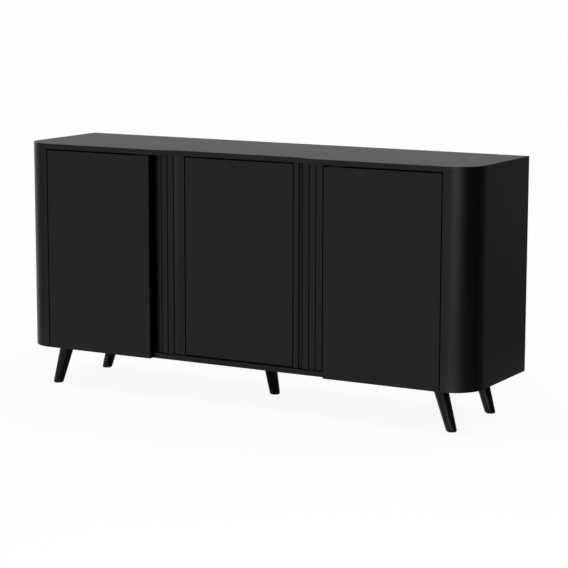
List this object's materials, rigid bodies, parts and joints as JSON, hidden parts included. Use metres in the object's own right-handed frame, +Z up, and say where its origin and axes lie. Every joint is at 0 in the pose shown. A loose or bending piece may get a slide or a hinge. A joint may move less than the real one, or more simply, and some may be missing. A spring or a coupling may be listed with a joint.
{
  "type": "sideboard buffet",
  "caption": "Low black storage sideboard with hinged doors, rounded front corners, fluted fixed panels beside a recessed middle door, shelves inside and splayed tapered legs.",
  "frame": {"origin": "on the floor under the middle of the cabinet", "axes": "+X to the right along the width, +Y to the back, +Z up; the doors face -Y"},
  "size_m": [1.54, 0.4, 0.768],
  "materials": {
    "black_board": "black satin foil on board",
    "black_leg_wood": "black satin lacquer on turned wood",
    "back_sheet": "black painted thin fibreboard",
    "beech": "beech dyed black",
    "nickel_steel": "nickel-plated steel",
    "plate_paint": "black paint",
    "black_plastic": "matt black",
    "bumper_rubber": "soft grey"
  },
  "bodies": {
    "carcass": {"back_panel_left": "back_sheet", "back_panel_middle": "back_sheet", "back_panel_right": "back_sheet", "back_panel_screws": "nickel_steel", "bottom_panel": "black_board", "catch_screws": "nickel_steel", "corner_post_left": "black_board", "corner_post_right": "black_board", "divider_left": "black_board", "divider_right": "black_board", "dowels": "beech", "fluted_batten_left": "black_board", "fluted_batten_right": "black_board", "fluted_panel_left": "black_board", "fluted_panel_right": "black_board", "hinge_arms_left": "nickel_steel", "hinge_arms_middle": "nickel_steel", "hinge_arms_right": "nickel_steel", "hinge_plate_screws": "nickel_steel", "hinge_plates_left": "nickel_steel", "hinge_plates_middle": "nickel_steel", "hinge_plates_right": "nickel_steel", "leg_front_left": "black_leg_wood", "leg_front_right": "black_leg_wood", "leg_glides": "black_plastic", "leg_middle": "black_leg_wood", "leg_plate_screws": "nickel_steel", "leg_plates": "plate_paint", "leg_rear_left": "black_leg_wood", "leg_rear_right": "black_leg_wood", "leg_studs": "nickel_steel", "magnetic_catches": "black_plastic", "partition_left": "black_board", "partition_right": "black_board", "push_latch_housing": "black_plastic", "shelf_left": "black_board", "shelf_middle": "black_board", "shelf_pins": "nickel_steel", "shelf_right": "black_board", "side_panel_left": "black_board", "side_panel_right": "black_board", "top_panel": "black_board"},
    "door_left": {"catch_plate_left": "nickel_steel", "cup_screws_left": "nickel_steel", "door_bumper_left": "bumper_rubber", "door_left": "black_board", "hinge_cups_left": "nickel_steel", "hinge_pins_left": "nickel_steel"},
    "door_middle": {"cup_screws_middle": "nickel_steel", "door_middle": "black_board", "hinge_cups_middle": "nickel_steel", "hinge_pins_middle": "nickel_steel", "strike_plate": "nickel_steel"},
    "door_right": {"catch_plate_right": "nickel_steel", "cup_screws_right": "nickel_steel", "door_bumper_right": "bumper_rubber", "door_right": "black_board", "hinge_cups_right": "nickel_steel", "hinge_pins_right": "nickel_steel"},
    "plunger": {"push_latch_plunger": "black_plastic"}
  },
  "joints": [
    {"name": "left_door_hinge", "type": "hinge", "parent": "carcass", "child": "door_left", "pos_m": [-0.6643, -0.194, 0.43625], "axis": [0, 0, -1], "range_deg": [0, 95]},
    {"name": "middle_door_hinge", "type": "hinge", "parent": "carcass", "child": "door_middle", "pos_m": [-0.176, -0.169, 0.44595], "axis": [0, 0, -1], "range_deg": [0, 95]},
    {"name": "right_door_hinge", "type": "hinge", "parent": "carcass", "child": "door_right", "pos_m": [0.6643, -0.194, 0.43625], "axis": [0, 0, 1], "range_deg": [0, 95]},
    {"name": "push_latch_travel", "type": "slide", "parent": "carcass", "child": "plunger", "axis": [0, 1, 0], "range_m": [0, 0.003], "stiffness_N_per_m": 600}
  ]
}
